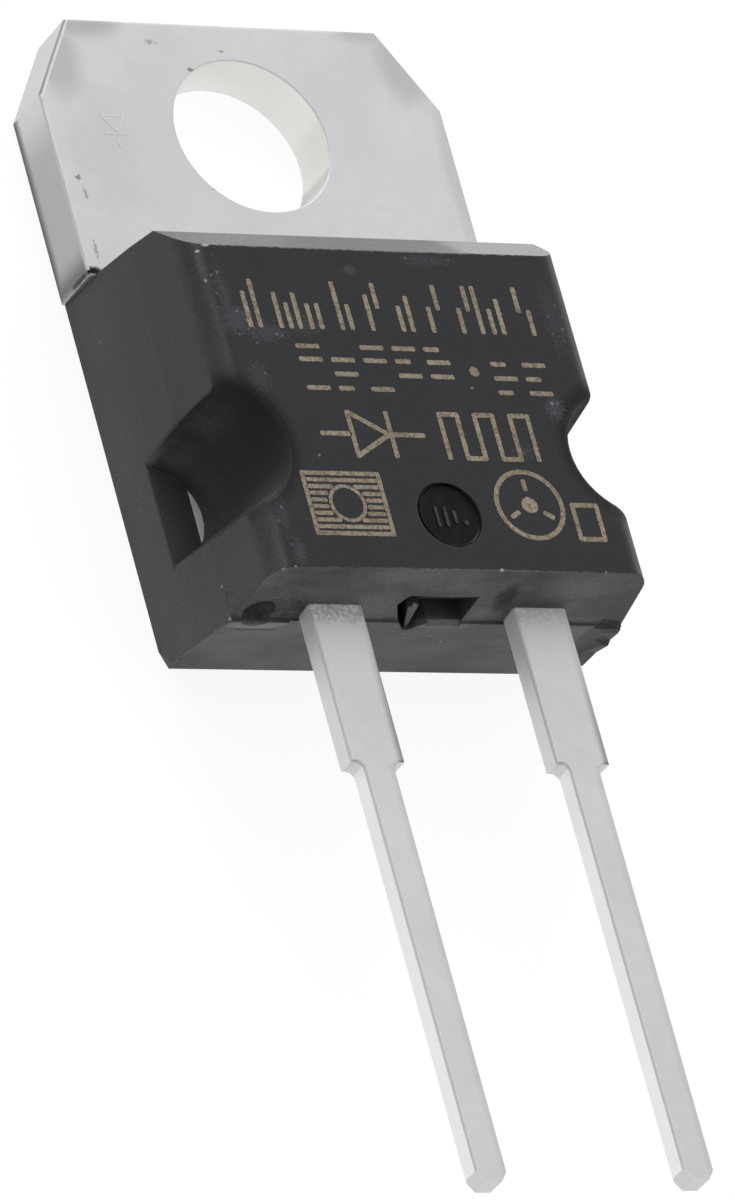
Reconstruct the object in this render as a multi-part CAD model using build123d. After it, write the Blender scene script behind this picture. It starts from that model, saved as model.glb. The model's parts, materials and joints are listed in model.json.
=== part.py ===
from build123d import *
import os
from math import radians, tan

os.makedirs("parts", exist_ok=True)

# Schottky diode in a two-lead power package, lying on its back. Sizes are in millimetres.
# The origin is the centre of the mounting hole on the back face. +X runs across the body,
# +Y from the body to the tab's free end, and +Z out of the marked front face.

# Tab with its mounting hole, and the heat slug that it becomes inside the resin
tab_width = 10.1
tab_thickness = 1.27
tab_reach = 2.8                 # hole centre to the tab's free end
tab_corner_width = 1.15
tab_corner_height = 1.95
tab_edge_roll = 0.09            # rounding that the stamping leaves round the front face
hole_diameter = 3.8
slug_side_cover = 0.92          # resin beside the slug, at the back
lock_width = 0.3                # coined rebate round the slug's back, which the resin grips
lock_height = 0.4

# Moulded body
body_setback = 0.07             # the body's sides stand this far inside the tab's
body_start = 3.5                # hole centre to the body's top, at the back
body_length = 9.24              # body's top at the back to its bottom at the parting plane
package_height = 4.5
parting_height = 2.67           # the mould halves meet at the back of the leads
top_draft = 5.8
top_bevel_height = 0.95         # flat bevel along the top of the front face
top_bevel_length = 0.87
parting_step = 0.05             # the back mould's bottom wall stands this far out from the front mould's
bottom_draft_front = 6.5
bottom_draft_back = 6.4
side_draft_front = 7.0
side_draft_back = 2.8
side_edge_radius = 0.58         # rounding along both sides of the front face

# Broken flash along the right bottom corner, behind the parting plane
flash_width = 0.7               # from the body's side to where the flash runs out
flash_proud = 0.2               # at the body's side, where nothing has broken off
flash_edge = (                  # drop below the parting plane, and how far the broken edge is proud there
    (0.06, 0.04), (0.2, 0.08), (0.55, 0.08), (0.7, 0.16), (1.2, 0.1), (1.85, 0.14), (2.3, 0.02))

# Chip off the left bottom corner at the back
chip_width = 0.14
chip_length = 0.4
chip_height = 0.35

# Half-round notches where the mould's pins hold the slug down
notch_from_bottom = 3.26        # body's bottom to the notches' centre
notch_floor_radius = 1.18
notch_draft = 5.6
notch_centre_outset = 0.07      # the centre lies this far outside the body's back edge
notch_lip_radius = 0.2          # rounding of the lips, apart from the sharp ones towards the leads

# Round mark of the ejector pin on the front face
ejector_radius = 0.78
ejector_depth = 0.12
ejector_from_bottom = 1.33      # up from the front face's bottom edge

# Pocket in the bottom face, at the place of the middle lead that this type lacks
pocket_width = 1.56
pocket_height = 1.2             # in the bottom face: the ceiling slopes down to the floor's back edge
pocket_depth = 0.6
pocket_offset = 0.06
pocket_flare = 0.3              # the torn left end reaches this far out
pocket_flare_height = 0.55
pocket_lip_depth = 0.09         # worn bevel along the floor's front edge
pocket_lip_height = 0.2
nick_height = 0.38              # torn corner below the pocket's left end
nick_width = 0.72
nick_toe = 0.12                 # width of the torn corner's foot
nick_toe_inset = 0.31           # foot of the torn corner, from the pocket's left end
tooth_width = 0.2               # flake of resin left standing in the pocket
tooth_root = 0.06               # width of the flake's foot
tooth_root_inset = 0.39         # foot of the flake, from the pocket's left end
tooth_rise = 0.62               # the flake's top, above the parting plane
tooth_rise_left = 0.48
tooth_setback = 0.1             # how far the flake stands inside the bottom face

# Remains of the resin gate, left of the left lead
gate_outset = 1.72              # from the left lead's centre
gate_width = 0.78
gate_height = 0.42
gate_depth = 0.3
gate_rise = 0.22                # the hollow's middle, above the parting plane
gate_lip_width = 1.7
gate_lip_height = 0.36
gate_lip_proud = 0.05           # at the parting plane, running out to nothing below

# Leads
lead_pitch = 5.06
lead_thickness = 0.53
lead_wide = 1.32
lead_narrow = 0.75
lead_length = 13.4              # body's bottom to the tips
lead_wide_length = 3.62         # body's bottom to the shoulders
shoulder_radius = 0.2           # inner corner where the lead steps in
tip_length = 0.26               # bevels at the cut end
tip_width = 0.36
lead_edge_radius = 0.08         # rounding that the stamping leaves along the lead
lead_embed = 0.75               # straight run of the lead inside the resin
strap_slope_length = 1.2        # cathode lead's slope down to the slug
strap_level_length = 0.35       # level run between the slope and the slug
strap_root = 0.5                # length of the strap that is one with the slug

# Bonding post on the anode lead
post_width = 3.1
post_length = 1.15
post_inset = 0.4                # post's outer side, from the outer side of the lead
post_neck = 1.0                 # lead's run from the post to the body's bottom
post_corner_radius = 0.2

# Chip, its solder and its three wires, named from left to right
wire_names = ("left", "middle", "right")
die_side = 3.3
die_thickness = 0.3
solder_thickness = 0.06
solder_margin = 0.18
wire_diameter = 0.38
wire_pitch = 0.92
wire_foot_length = 0.85
wire_foot_width = 0.52
wire_foot_height = 0.24
wire_foot_corner = 0.23
wire_cover = 0.42               # resin above the middle of the wires' loops
wire_rise_reach = 0.7           # how far each loop's ends lean over: steep at the chip, flatter at the post
wire_fall_reach = 0.9
wire_runs = 6                   # short straight runs that make each loop

# Levels and edges that follow from the sizes above
body_back_half = tab_width / 2 - body_setback
body_parting_half = body_back_half - parting_height * tan(radians(side_draft_back))
front_rise = package_height - parting_height
body_front_half = body_parting_half - front_rise * tan(radians(side_draft_front))
body_bottom = -body_start - body_length
front_bottom = body_bottom + parting_step + front_rise * tan(radians(bottom_draft_front))
back_bottom = body_bottom + parting_height * tan(radians(bottom_draft_back))
bevel_foot = package_height - top_bevel_height
notch_y = body_bottom + notch_from_bottom
pocket_left = pocket_offset - pocket_width / 2
pocket_right = pocket_offset + pocket_width / 2
slug_half = body_back_half - slug_side_cover
slug_end = body_bottom + lead_embed + strap_slope_length + strap_level_length
lead_top = parting_height + lead_thickness
solder_top = tab_thickness + solder_thickness
die_top = solder_top + die_thickness


def top_wall(height):
    """The body's top wall at a height above the back face, as a Y value."""
    return -body_start - height * tan(radians(top_draft))


slug_start = top_wall(tab_thickness)
die_y = (slug_start + slug_end) / 2
far = 4 * (tab_width + body_length)


def prism(points, plane):
    """Closed outline on a plane, pushed well past the part on both sides."""
    return extrude(plane * make_face(Polyline(*points, close=True)), amount=far, both=True)


def tab_and_slug():
    """Stamped plate with bevelled corners, narrower inside the resin, with a coined rebate at the back."""
    half = tab_width / 2
    right_side = [
        (half - tab_corner_width, tab_reach),
        (half, tab_reach - tab_corner_height),
        (half, slug_start),
        (slug_half, slug_start),
        (slug_half, slug_end),
    ]
    left_side = [(-x, y) for x, y in reversed(right_side)]
    outline = make_face(Polyline(*right_side, *left_side, close=True))
    plate = extrude(outline, amount=tab_thickness)
    front_edges = plate.faces().sort_by(Axis.Z)[-1].edges()
    open_edges = front_edges.filter_by(lambda edge: edge.center().Y > slug_start + tab_edge_roll)
    plate = fillet(open_edges, tab_edge_roll)
    plate -= Cylinder(hole_diameter / 2, far)
    rebate_start = slug_start - lock_width
    rebate_length = rebate_start - slug_end
    down = (Align.CENTER, Align.MAX)
    whole = Rectangle(2 * slug_half, rebate_length, align=down)
    core = Rectangle(2 * (slug_half - lock_width), rebate_length - lock_width, align=down)
    return plate - Pos(0, rebate_start) * extrude(whole - core, amount=lock_height)


def lead_plan():
    """Outline of a straight lead: wide at the body, stepped in at the shoulders, bevelled at the tip."""
    shoulder = body_bottom - lead_wide_length
    tip = body_bottom - lead_length
    right_side = [
        (lead_wide / 2, body_bottom + lead_embed),
        (lead_wide / 2, shoulder),
        (lead_narrow / 2, shoulder),
        (lead_narrow / 2, tip + tip_length),
        (tip_width / 2, tip),
    ]
    left_side = [(-x, y) for x, y in reversed(right_side)]
    outline = make_face(Polyline(*right_side, *left_side, close=True))
    between = (lead_wide + lead_narrow) / 4
    at_shoulder = outline.vertices().filter_by(lambda corner: abs(corner.Y - shoulder) < shoulder_radius)
    inner_corners = at_shoulder.filter_by(lambda corner: abs(corner.X) < between)
    return fillet(inner_corners, shoulder_radius)


def straight_lead():
    """Lead from just inside the resin to its tip, centred on X = 0, with its long edges rounded."""
    lead = Pos(0, 0, parting_height) * extrude(lead_plan(), amount=lead_thickness)
    long_edges = lead.edges().filter_by(Axis.Y).filter_by(lambda edge: edge.center().Y < body_bottom)
    return fillet(long_edges, lead_edge_radius)


def strap_side():
    """Side view of the cathode lead's inner end: level, sloped down, and level again on the slug."""
    slope_top = body_bottom + lead_embed
    slope_foot = slope_top + strap_slope_length
    root = slug_end + strap_root
    low = tab_thickness - lead_thickness
    return [
        (slope_top, parting_height),
        (slope_foot, low),
        (root, low),
        (root, tab_thickness),
        (slope_foot, tab_thickness),
        (slope_top, lead_top),
    ]


def cathode_leadframe():
    """Tab, slug and cathode lead, one stamped and bent piece."""
    strap = prism(strap_side(), Plane.YZ) & Box(lead_wide, far, far)
    return tab_and_slug() + Pos(-lead_pitch / 2, 0) * (straight_lead() + strap)


def anode_post():
    """Wide end of the anode lead, where the wires are bonded, with a rounded outline."""
    up = (Align.CENTER, Align.MIN)
    neck = Pos(0, body_bottom + lead_embed) * Rectangle(
        lead_wide, post_neck - lead_embed + post_length / 2, align=up)
    middle = lead_wide / 2 + post_inset - post_width / 2
    head = Pos(middle, body_bottom + post_neck + post_length / 2) * RectangleRounded(
        post_width, post_length, post_corner_radius)
    return Pos(0, 0, parting_height) * extrude(neck + head, amount=lead_thickness)


def anode_lead():
    return Pos(lead_pitch / 2, 0) * (straight_lead() + anode_post())


def chip():
    return Pos(0, die_y, solder_top + die_thickness / 2) * Box(die_side, die_side, die_thickness)


def solder():
    side = die_side + 2 * solder_margin
    outline = RectangleRounded(side, side, solder_margin)
    return Pos(0, die_y, tab_thickness) * extrude(outline, amount=solder_thickness)


def wire_foot(x, y, level, heading):
    """Wedge-bonded end of a wire, pressed flat on the metal."""
    outline = RectangleRounded(wire_foot_length, wire_foot_width, wire_foot_corner)
    return Location((x, y, level), (0, 0, heading)) * extrude(outline, amount=wire_foot_height)


def bond_wire(index):
    """One aluminium wire from the chip's top to the anode post, with a flat foot at each end."""
    step = (index - (len(wire_names) - 1) / 2) * wire_pitch
    post_x = (lead_pitch + lead_wide) / 2 + post_inset - post_width / 2 + step
    start = Vector(step, die_y + wire_foot_length / 2)
    end = Vector(post_x, body_bottom + post_neck + post_length / 2)
    run = end - start
    heading = Vector(1, 0, 0).get_signed_angle(run, Vector(0, 0, 1))
    level = Plane(origin=(start.X, start.Y, 0), x_dir=run, z_dir=run.cross(Vector(0, 0, 1)))
    radius = wire_diameter / 2
    low_end = die_top + radius
    high_end = lead_top + radius
    middle = package_height - wire_cover - radius
    crest = (8 * middle - low_end - high_end) / 6
    loop = Bezier(
        (0, low_end),
        (wire_rise_reach, crest),
        (run.length - wire_fall_reach, crest),
        (run.length, high_end),
    )
    route = level * Polyline(*[loop @ (step / wire_runs) for step in range(wire_runs + 1)])
    section = Plane(route @ 0, z_dir=route % 0) * Circle(radius)
    wire = sweep(section, path=route, transition=Transition.RIGHT)
    feet = [wire_foot(start.X, start.Y, die_top, heading), wire_foot(end.X, end.Y, lead_top, heading)]
    return wire + feet


def body_block():
    """Drafted outside of the resin: the section across the body meets the section along it."""
    across = Plane.XZ * make_face(Polyline(
        (-body_back_half, 0),
        (body_back_half, 0),
        (body_parting_half, parting_height),
        (body_front_half, package_height),
        (-body_front_half, package_height),
        (-body_parting_half, parting_height),
        close=True,
    ))
    across = fillet(across.vertices().group_by(Axis.Z)[-1], side_edge_radius)
    along = [
        (-body_start, 0),
        (top_wall(bevel_foot), bevel_foot),
        (top_wall(bevel_foot) - top_bevel_length, package_height),
        (front_bottom, package_height),
        (body_bottom + parting_step, parting_height),
        (body_bottom, parting_height),
        (back_bottom, 0),
    ]
    return extrude(across, amount=far, both=True) & prism(along, Plane.YZ)


def notches():
    """Drafted half-round pockets on both sides, down to the slug's front face."""
    depth = package_height - tab_thickness
    mouth_radius = notch_floor_radius + depth * tan(radians(notch_draft))
    cone = Cone(notch_floor_radius, mouth_radius, depth, align=(Align.CENTER, Align.CENTER, Align.MIN))
    x = body_back_half + notch_centre_outset
    return [Pos(side * x, notch_y, tab_thickness) * cone for side in (-1, 1)]


def is_rounded_lip(edge):
    """True for a notch's edges on the front face and on the side towards the tab."""
    middle = edge.center()
    above_floor = middle.Z > tab_thickness + notch_lip_radius
    return above_floor and middle.Y > notch_y - notch_floor_radius / 2


def middle_pocket():
    """Wedge cut into the bottom face between the leads, with a torn left end and a worn lip."""
    wedge = prism([
        (body_bottom + pocket_depth, parting_height),
        (body_bottom - pocket_depth, parting_height),
        (body_bottom - pocket_depth, parting_height + 2 * pocket_height),
    ], Plane.YZ)
    mouth = prism([
        (pocket_left, parting_height),
        (pocket_right, parting_height),
        (pocket_right, parting_height + 2 * pocket_height),
        (pocket_left, parting_height + pocket_height),
        (pocket_left - pocket_flare, parting_height + pocket_flare_height),
    ], Plane.XZ)
    nick = prism([
        (pocket_left, parting_height),
        (pocket_left + nick_width, parting_height),
        (pocket_left + nick_toe_inset + nick_toe, parting_height - nick_height),
        (pocket_left + nick_toe_inset, parting_height - nick_height),
    ], Plane.XZ) & Pos(0, body_bottom) * Box(far, 2 * pocket_depth, far)
    return (wedge & mouth) + nick


def pocket_lip():
    """Worn bevel along the front edge of the pocket's floor, right of the torn corner."""
    bevel = prism([
        (body_bottom + pocket_lip_depth, parting_height),
        (body_bottom - pocket_lip_depth, parting_height),
        (body_bottom - pocket_lip_depth, parting_height - 2 * pocket_lip_height),
    ], Plane.YZ)
    length = pocket_width - nick_width
    return bevel & Pos(pocket_right - length / 2, 0) * Box(length, far, far)


def pocket_tooth():
    """Leaning flake of resin that stands in the pocket's torn end."""
    foot = parting_height - nick_height - tooth_root
    root = pocket_left + tooth_root_inset
    flake = prism([
        (root, foot),
        (root + tooth_root, foot),
        (pocket_left + tooth_width, parting_height + tooth_rise),
        (pocket_left, parting_height + tooth_rise_left),
    ], Plane.XZ)
    return flake & Pos(0, body_bottom + tooth_setback + pocket_depth / 2) * Box(far, pocket_depth, far)


def gate_scar():
    """Hollow that the broken gate left above the parting plane."""
    x = -lead_pitch / 2 - gate_outset
    scoop = scale(Sphere(1.0), by=(gate_width / 2, gate_depth, gate_height))
    return Pos(x, body_bottom, parting_height + gate_rise) * scoop


def gate_lip():
    """Crescent of resin under the gate's hollow, proud at the parting plane."""
    x = -lead_pitch / 2 - gate_outset
    outline = Plane.XZ * Pos(x, parting_height) * Ellipse(gate_lip_width / 2, gate_lip_height)
    crescent = extrude(outline, amount=far, both=True)
    wedge = prism([
        (body_bottom + gate_lip_proud, parting_height),
        (body_bottom - gate_lip_proud, parting_height),
        (body_bottom + gate_lip_proud, parting_height - 2 * gate_lip_height),
    ], Plane.YZ)
    return crescent & wedge & Box(2 * body_parting_half, far, far)


def corner_flash():
    """Wedge of resin down the right bottom corner, drafted with the walls, up to its broken edge."""
    x = body_parting_half
    corner = [
        (x - flash_width, body_bottom),
        (x, body_bottom - flash_proud),
        (x, body_bottom + flash_width),
        (x - flash_width, body_bottom + flash_width),
    ]
    outline = Pos(0, 0, parting_height) * make_face(Polyline(*corner, close=True))
    down = (tan(radians(side_draft_back)), tan(radians(bottom_draft_back)), -1)
    wedge = extrude(outline, amount=2 * parting_height, dir=down)
    kept = []
    for drop, proud in flash_edge:
        wall = body_bottom + drop * tan(radians(bottom_draft_back))
        kept.append((wall - proud, parting_height - drop))
    inside = back_bottom + flash_width
    kept += [(inside, kept[-1][1]), (inside, kept[0][1])]
    return wedge & prism(kept, Plane.YZ)


def corner_chip():
    """Plane that cuts off the left bottom corner at the back, with its normal towards the body."""
    along_side = Vector(-body_back_half, back_bottom + chip_length, 0)
    along_bottom = Vector(-body_back_half + chip_width, back_bottom, 0)
    up_the_corner = Vector(
        -body_back_half + chip_height * tan(radians(side_draft_back)),
        back_bottom - chip_height * tan(radians(bottom_draft_back)),
        chip_height,
    )
    inward = (up_the_corner - along_side).cross(along_bottom - along_side)
    return Plane(origin=along_side, z_dir=inward)


def moulded_body(inner_pieces):
    body = body_block()
    for notch in notches():
        body -= notch
    notch_edges = body.faces().filter_by(GeomType.CONE).edges()
    body = fillet(notch_edges.filter_by(is_rounded_lip), notch_lip_radius)
    body = split(body, bisect_by=corner_chip(), keep=Keep.TOP)
    body += corner_flash()
    body -= middle_pocket()
    body -= pocket_lip()
    body += pocket_tooth()
    body += gate_lip()
    body -= gate_scar()
    ejector_y = front_bottom + ejector_from_bottom
    body -= Pos(0, ejector_y, package_height) * Cylinder(ejector_radius, 2 * ejector_depth)
    for piece in inner_pieces:
        body -= piece
    return body


pieces = {
    "cathode_leadframe": cathode_leadframe(),
    "anode_lead": anode_lead(),
    "die_solder": solder(),
    "schottky_die": chip(),
}
for index, place in enumerate(wire_names):
    pieces[f"bond_wire_{place}"] = bond_wire(index)
pieces["moulded_body"] = moulded_body(list(pieces.values()))

for name, shape in pieces.items():
    export_step(shape, f"parts/{name}.step")
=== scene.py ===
import json
import random
from math import cos, pi, radians, sin

import bpy
from mathutils import Matrix, Vector


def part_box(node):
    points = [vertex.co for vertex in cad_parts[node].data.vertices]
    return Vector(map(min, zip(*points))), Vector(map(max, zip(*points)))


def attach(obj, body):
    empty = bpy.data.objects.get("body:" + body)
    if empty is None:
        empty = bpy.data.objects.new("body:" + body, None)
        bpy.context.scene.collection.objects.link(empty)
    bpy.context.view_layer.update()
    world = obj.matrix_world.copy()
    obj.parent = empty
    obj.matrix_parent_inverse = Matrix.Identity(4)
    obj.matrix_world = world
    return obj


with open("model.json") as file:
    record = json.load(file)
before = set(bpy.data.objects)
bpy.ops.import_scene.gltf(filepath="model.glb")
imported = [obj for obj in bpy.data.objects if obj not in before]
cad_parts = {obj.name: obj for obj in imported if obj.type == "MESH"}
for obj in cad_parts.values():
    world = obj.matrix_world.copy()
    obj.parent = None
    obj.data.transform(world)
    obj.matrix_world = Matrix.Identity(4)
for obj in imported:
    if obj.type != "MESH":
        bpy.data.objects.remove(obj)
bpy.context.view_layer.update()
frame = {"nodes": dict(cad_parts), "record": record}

MM = 0.001
nodes = frame["nodes"]
metal_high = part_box("cathode_leadframe")[1] / MM
resin_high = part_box("moulded_body")[1] / MM

# Levels and edges of the diode in millimetres, which the finishes and the marks are placed by
tab_half = metal_high.x
tab_front = 1.27
tab_end = metal_high.y
tab_root = -3.5                     # where the tab's front enters the resin
tab_chamfer_side = 1.95
front_height = resin_high.z
parting_plane = 2.67
hole_radius = 1.9
notch_axis = (5.05, 9.48, 0)        # sideways from the middle, and down from the hole
lead_pitch = 5.06
lead_wide_half = 0.66
lead_narrow_half = 0.375
lead_root = -12.65                  # where the leads' front leaves the resin
lead_shoulder = -16.36


def add(tree, kind, inputs=None, **settings):
    """New shader node. Each input is a plain value or the output that feeds it."""
    made = tree.nodes.new(kind)
    for name, value in settings.items():
        setattr(made, name, value)
    for key, value in (inputs or {}).items():
        if isinstance(value, bpy.types.NodeSocket):
            tree.links.new(value, made.inputs[key])
        else:
            made.inputs[key].default_value = value
    return made


def calc(tree, operation, *values):
    """Output of a Math node."""
    return add(tree, "ShaderNodeMath", dict(enumerate(values)), operation=operation).outputs[0]


def product(tree, value, *others):
    """Values multiplied one after another."""
    for other in others:
        value = calc(tree, "MULTIPLY", value, other)
    return value


def highest(tree, value, *others):
    """Highest of several values."""
    for other in others:
        value = calc(tree, "MAXIMUM", value, other)
    return value


def vector_math(tree, operation, *vectors):
    """Outputs of a Vector Math node."""
    return add(tree, "ShaderNodeVectorMath", dict(enumerate(vectors)), operation=operation).outputs


def grey(level):
    """Neutral colour of one level."""
    return (level, level, level, 1)


def blend(tree, share, first, second):
    """Output of a value mix: the share of the second value over the first."""
    return add(tree, "ShaderNodeMix", {0: share, 2: first, 3: second}).outputs[0]


def tint(tree, share, first, second):
    """Output of a colour mix: the share of the second colour over the first."""
    return add(tree, "ShaderNodeMix", {0: share, 6: first, 7: second}, data_type="RGBA").outputs[2]


def remap(tree, value, low, high, to_low=0.0, to_high=1.0, smooth=True):
    """Value moved from one range to another, held at both ends."""
    kind = "SMOOTHSTEP" if smooth else "LINEAR"
    inputs = {"Value": value, "From Min": low, "From Max": high, "To Min": to_low, "To Max": to_high}
    return add(tree, "ShaderNodeMapRange", inputs, interpolation_type=kind).outputs["Result"]


def place_mm(tree):
    """Position in the part's own frame, in millimetres."""
    where = add(tree, "ShaderNodeTexCoord").outputs["Object"]
    return add(tree, "ShaderNodeVectorMath", {0: where, 3: 1 / MM}, operation="SCALE").outputs[0]


def axes_of(tree, vector):
    """X, Y and Z of a position or a direction."""
    return add(tree, "ShaderNodeSeparateXYZ", {0: vector}).outputs


def normal_axes(tree):
    """X, Y and Z of the surface's own direction."""
    return axes_of(tree, add(tree, "ShaderNodeTexCoord").outputs["Normal"])


def stretched(tree, vector, factors):
    """Position with each axis stretched, for grain that runs one way."""
    return vector_math(tree, "MULTIPLY", vector, factors)[0]


def noise(tree, vector, scale, detail=3.0):
    """Value of a noise texture with so many grains to a unit."""
    inputs = {"Vector": vector, "Scale": scale, "Detail": detail}
    return add(tree, "ShaderNodeTexNoise", inputs).outputs["Fac"]


GROUP_SOCKETS = {"value": "NodeSocketFloat", "vector": "NodeSocketVector"}


def new_group(name, inputs, outputs):
    """Empty shader node group with its inputs, outputs and their default values."""
    group = bpy.data.node_groups.new(name, "ShaderNodeTree")
    for label, value in inputs.items():
        kind = "value" if isinstance(value, float) else "vector"
        socket = group.interface.new_socket(label, in_out="INPUT", socket_type=GROUP_SOCKETS[kind])
        socket.default_value = value
    for label, kind in outputs.items():
        group.interface.new_socket(label, in_out="OUTPUT", socket_type=GROUP_SOCKETS[kind])
    return group, group.nodes.new("NodeGroupInput").outputs, group.nodes.new("NodeGroupOutput").inputs


def use(tree, group, **inputs):
    """Group placed in a material with its own values. Underscores in a name stand for spaces."""
    made = tree.nodes.new("ShaderNodeGroup")
    made.node_tree = group
    for name, value in inputs.items():
        socket = made.inputs[name.replace("_", " ")]
        if isinstance(value, bpy.types.NodeSocket):
            tree.links.new(value, socket)
        else:
            socket.default_value = value
    return made.outputs


def make_grain_group():
    """Fine grain of an eroded mould or a satin plating: two sizes of noise in one height."""
    inputs = {"Position": (0, 0, 0), "Grains per mm": 12.0, "Coarse share": 0.4}
    group, given, result = new_group("fine grain", inputs, {"Height": "value"})
    fine = noise(group, given["Position"], given["Grains per mm"], 2.0)
    coarse = noise(group, given["Position"], calc(group, "MULTIPLY", given["Grains per mm"], 0.22))
    group.links.new(blend(group, given["Coarse share"], fine, coarse), result["Height"])
    return group


def make_edge_group():
    """Mask of the edges within a radius, broken up along their length, and the rounded normal."""
    inputs = {"Position": (0, 0, 0), "Radius mm": 0.1, "Breaks per mm": 3.0, "Broken share": 0.5}
    group, given, result = new_group("edge wear", inputs, {"Mask": "value", "Rounded normal": "vector"})
    radius = calc(group, "MULTIPLY", given["Radius mm"], MM)
    rounded = add(group, "ShaderNodeBevel", {"Radius": radius}, samples=6).outputs[0]
    flat = add(group, "ShaderNodeNewGeometry").outputs["Normal"]
    edge = remap(group, vector_math(group, "DOT_PRODUCT", rounded, flat)["Value"], 0.995, 0.86)
    broken = remap(group, noise(group, given["Position"], given["Breaks per mm"], 4.0), 0.42, 0.6)
    kept = blend(group, given["Broken share"], 1.0, broken)
    group.links.new(calc(group, "MULTIPLY", edge, kept), result["Mask"])
    group.links.new(rounded, result["Rounded normal"])
    return group


def make_cloud_group():
    """Soft clouds and blotches between 0 and 1."""
    inputs = {"Position": (0, 0, 0), "Clouds per mm": 0.5, "Low": 0.35, "High": 0.65}
    group, given, result = new_group("clouds", inputs, {"Mask": "value"})
    clouds = noise(group, given["Position"], given["Clouds per mm"], 5.0)
    group.links.new(remap(group, clouds, given["Low"], given["High"]), result["Mask"])
    return group


def make_speck_group():
    """Small round specks scattered over a surface, in a share of the cells."""
    inputs = {"Position": (0, 0, 0), "Cells per mm": 2.0, "Size": 0.1, "Share of cells": 0.1}
    group, given, result = new_group("specks", inputs, {"Mask": "value"})
    spread = {"Vector": given["Position"], "Scale": given["Cells per mm"]}
    cells = add(group, "ShaderNodeTexVoronoi", spread).outputs
    near = calc(group, "LESS_THAN", cells["Distance"], given["Size"])
    chosen = calc(group, "LESS_THAN", axes_of(group, cells["Color"])[0], given["Share of cells"])
    group.links.new(calc(group, "MULTIPLY", near, chosen), result["Mask"])
    return group


def make_patch_group():
    """Patch round one place: a soft ellipsoid whose edge is broken by noise."""
    inputs = {
        "Position": (0, 0, 0), "Centre": (0, 0, 0), "Reach": (1, 1, 1),
        "Ragged": 0.5, "Grains per mm": 8.0,
    }
    group, given, result = new_group("patch", inputs, {"Mask": "value"})
    away = vector_math(group, "SUBTRACT", given["Position"], given["Centre"])[0]
    share = vector_math(group, "DIVIDE", away, given["Reach"])[0]
    far = vector_math(group, "LENGTH", share)["Value"]
    grains = noise(group, given["Position"], given["Grains per mm"], 4.0)
    shift = calc(group, "MULTIPLY", calc(group, "SUBTRACT", grains, 0.5), 3.0)
    ragged = calc(group, "MULTIPLY_ADD", shift, given["Ragged"], far)
    group.links.new(remap(group, ragged, 1.0, 0.35), result["Mask"])
    return group


grain_group = make_grain_group()
edge_group = make_edge_group()
cloud_group = make_cloud_group()
speck_group = make_speck_group()
patch_group = make_patch_group()


def new_material(name, colour, roughness, metallic=0.0, specular=0.5):
    """Material with one Principled BSDF, and the values that stay the same all over set on it."""
    material = bpy.data.materials.new(name)
    material.use_nodes = True
    shader = material.node_tree.nodes["Principled BSDF"]
    shader.inputs["Base Color"].default_value = (*colour, 1)
    shader.inputs["Roughness"].default_value = roughness
    shader.inputs["Metallic"].default_value = metallic
    shader.inputs["Specular IOR Level"].default_value = specular
    return material, material.node_tree, shader


def feed(tree, shader, **sources):
    """Links outputs to the shader's inputs. Underscores in a name stand for spaces."""
    for name, source in sources.items():
        tree.links.new(source, shader.inputs[name.replace("_", " ")])


def bump(tree, height, depth_mm, normal=None):
    """Normal of a surface with so deep a relief."""
    inputs = {"Height": height, "Distance": depth_mm * MM}
    if normal is not None:
        inputs["Normal"] = normal
    return add(tree, "ShaderNodeBump", inputs).outputs["Normal"]


def patches(tree, where, spots, grains=8.0):
    """Highest of several ragged patches, each a centre, a reach, a raggedness and a strength."""
    masks = []
    for centre, reach, ragged, strength in spots:
        spot = use(tree, patch_group, Position=where, Centre=centre, Reach=reach, Ragged=ragged,
                   Grains_per_mm=grains)
        masks.append(calc(tree, "MULTIPLY", spot["Mask"], strength))
    return highest(tree, *masks)


# Rubbed places on the resin: centre and reach in millimetres, raggedness, strength
RESIN_SCUFFS = (
    ((-3.95, -6.55, 4.5), (0.45, 0.45, 0.3), 0.8, 0.9),
    ((-3.3, -6.85, 4.5), (0.6, 0.3, 0.2), 1.0, 0.7),
    ((-2.3, -6.65, 4.5), (0.5, 0.25, 0.2), 1.1, 0.5),
    ((-0.8, -5.25, 4.5), (0.22, 0.14, 0.2), 0.8, 0.9),
    ((3.4, -8.5, 4.5), (0.3, 0.35, 0.2), 0.8, 1.0),
    ((2.3, -9.6, 4.5), (0.35, 0.25, 0.2), 1.0, 0.5),
    ((4.2, -10.4, 4.5), (0.25, 0.9, 0.3), 1.0, 0.5),
    ((4.0, -6.3, 4.5), (0.3, 1.0, 0.3), 1.0, 0.5),
    ((-4.15, -11.2, 4.45), (0.2, 0.6, 0.3), 0.9, 0.6),
    ((-3.95, -12.1, 4.5), (0.2, 0.4, 0.2), 0.9, 0.7),
    ((-4.42, -5.2, 4.45), (0.08, 0.7, 0.2), 0.7, 0.9),
    ((-4.1, -6.0, 4.5), (0.2, 1.0, 0.2), 1.0, 0.7),
    ((-3.75, -7.9, 4.5), (0.3, 0.5, 0.2), 1.0, 0.5),
    ((1.2, -4.95, 4.5), (0.9, 0.15, 0.2), 1.0, 0.5),
)
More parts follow.
